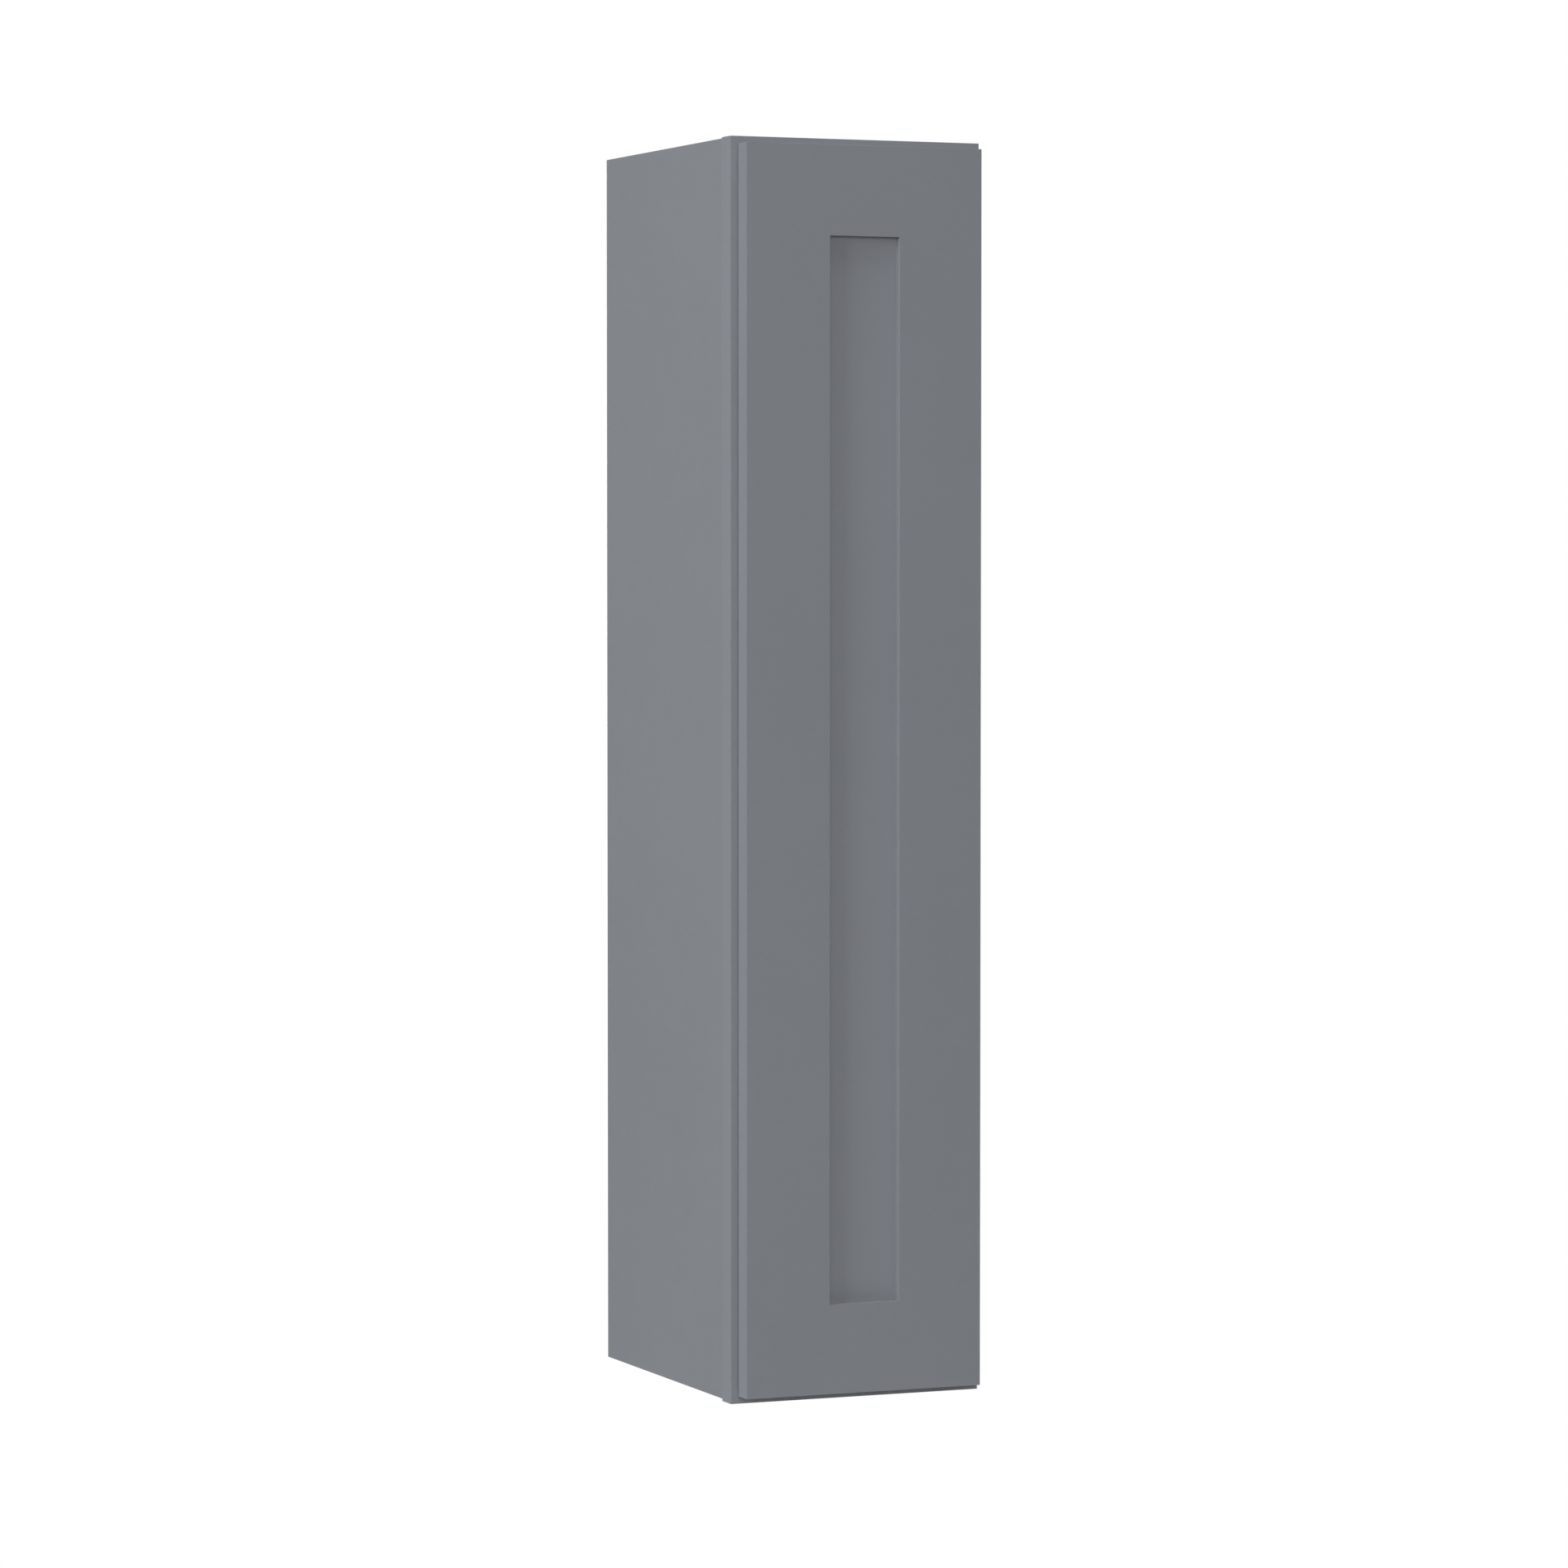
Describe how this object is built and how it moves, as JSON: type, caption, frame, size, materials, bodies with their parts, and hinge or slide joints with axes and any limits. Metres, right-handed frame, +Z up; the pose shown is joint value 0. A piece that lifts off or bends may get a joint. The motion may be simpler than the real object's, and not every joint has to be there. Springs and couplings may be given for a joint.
{
  "type": "wall cabinet",
  "caption": "Narrow tall kitchen wall cabinet with a face frame, one recessed-panel door on concealed hinges, and adjustable shelves.",
  "frame": {"origin": "centre of the upper hanging rail's back face, in the plane that lies against the wall, where the cabinet is screwed up", "axes": "+X to the right as seen from the front, +Y towards the wall, +Z up; the door faces -Y"},
  "size_m": [0.2286, 0.3103, 1.0668],
  "materials": {
    "painted_frame": "satin grey paint on solid wood",
    "painted_side": "satin grey paint on plywood",
    "painted_door": "satin grey paint on wood and a flat panel",
    "plywood": "clear-coated light plywood",
    "shelf_board": "clear-coated light plywood with an edge band",
    "hinge_steel": "bright nickel plate",
    "screw_steel": "zinc plate",
    "pin_steel": "nickel plate",
    "bumper_plastic": "soft clear plastic"
  },
  "bodies": {
    "cabinet": {"back_panel": "plywood", "bottom_panel": "plywood", "frame_rail_bottom": "painted_frame", "frame_rail_top": "painted_frame", "frame_stile_left": "painted_frame", "frame_stile_right": "painted_frame", "hang_rail_lower": "plywood", "hang_rail_upper": "plywood", "hinge_adjust_screw_lower": "screw_steel", "hinge_adjust_screw_middle": "screw_steel", "hinge_adjust_screw_upper": "screw_steel", "hinge_arm_lower": "hinge_steel", "hinge_arm_middle": "hinge_steel", "hinge_arm_upper": "hinge_steel", "hinge_mount_screw_lower": "screw_steel", "hinge_mount_screw_middle": "screw_steel", "hinge_mount_screw_upper": "screw_steel", "hinge_plate_lower": "hinge_steel", "hinge_plate_middle": "hinge_steel", "hinge_plate_upper": "hinge_steel", "shelf_lower": "shelf_board", "shelf_middle": "shelf_board", "shelf_pin_lower_left_back": "pin_steel", "shelf_pin_lower_left_front": "pin_steel", "shelf_pin_lower_right_back": "pin_steel", "shelf_pin_lower_right_front": "pin_steel", "shelf_pin_middle_left_back": "pin_steel", "shelf_pin_middle_left_front": "pin_steel", "shelf_pin_middle_right_back": "pin_steel", "shelf_pin_middle_right_front": "pin_steel", "shelf_pin_upper_left_back": "pin_steel", "shelf_pin_upper_left_front": "pin_steel", "shelf_pin_upper_right_back": "pin_steel", "shelf_pin_upper_right_front": "pin_steel", "shelf_upper": "shelf_board", "side_left": "painted_side", "side_right": "painted_side", "top_panel": "plywood"},
    "door": {"door_bumper_lower": "bumper_plastic", "door_bumper_upper": "bumper_plastic", "door_panel": "painted_door", "door_rail_bottom": "painted_door", "door_rail_top": "painted_door", "door_stile_left": "painted_door", "door_stile_right": "painted_door", "hinge_cup_lower": "hinge_steel", "hinge_cup_middle": "hinge_steel", "hinge_cup_screw_high_lower": "screw_steel", "hinge_cup_screw_high_middle": "screw_steel", "hinge_cup_screw_high_upper": "screw_steel", "hinge_cup_screw_low_lower": "screw_steel", "hinge_cup_screw_low_middle": "screw_steel", "hinge_cup_screw_low_upper": "screw_steel", "hinge_cup_upper": "hinge_steel", "hinge_pin_lower": "pin_steel", "hinge_pin_middle": "pin_steel", "hinge_pin_upper": "pin_steel"}
  },
  "joints": [
    {"name": "door_swing", "type": "hinge", "parent": "cabinet", "child": "door", "pos_m": [0.10135, -0.30081, -0.4943], "axis": [0, 0, 1], "range_deg": [0, 105]}
  ]
}
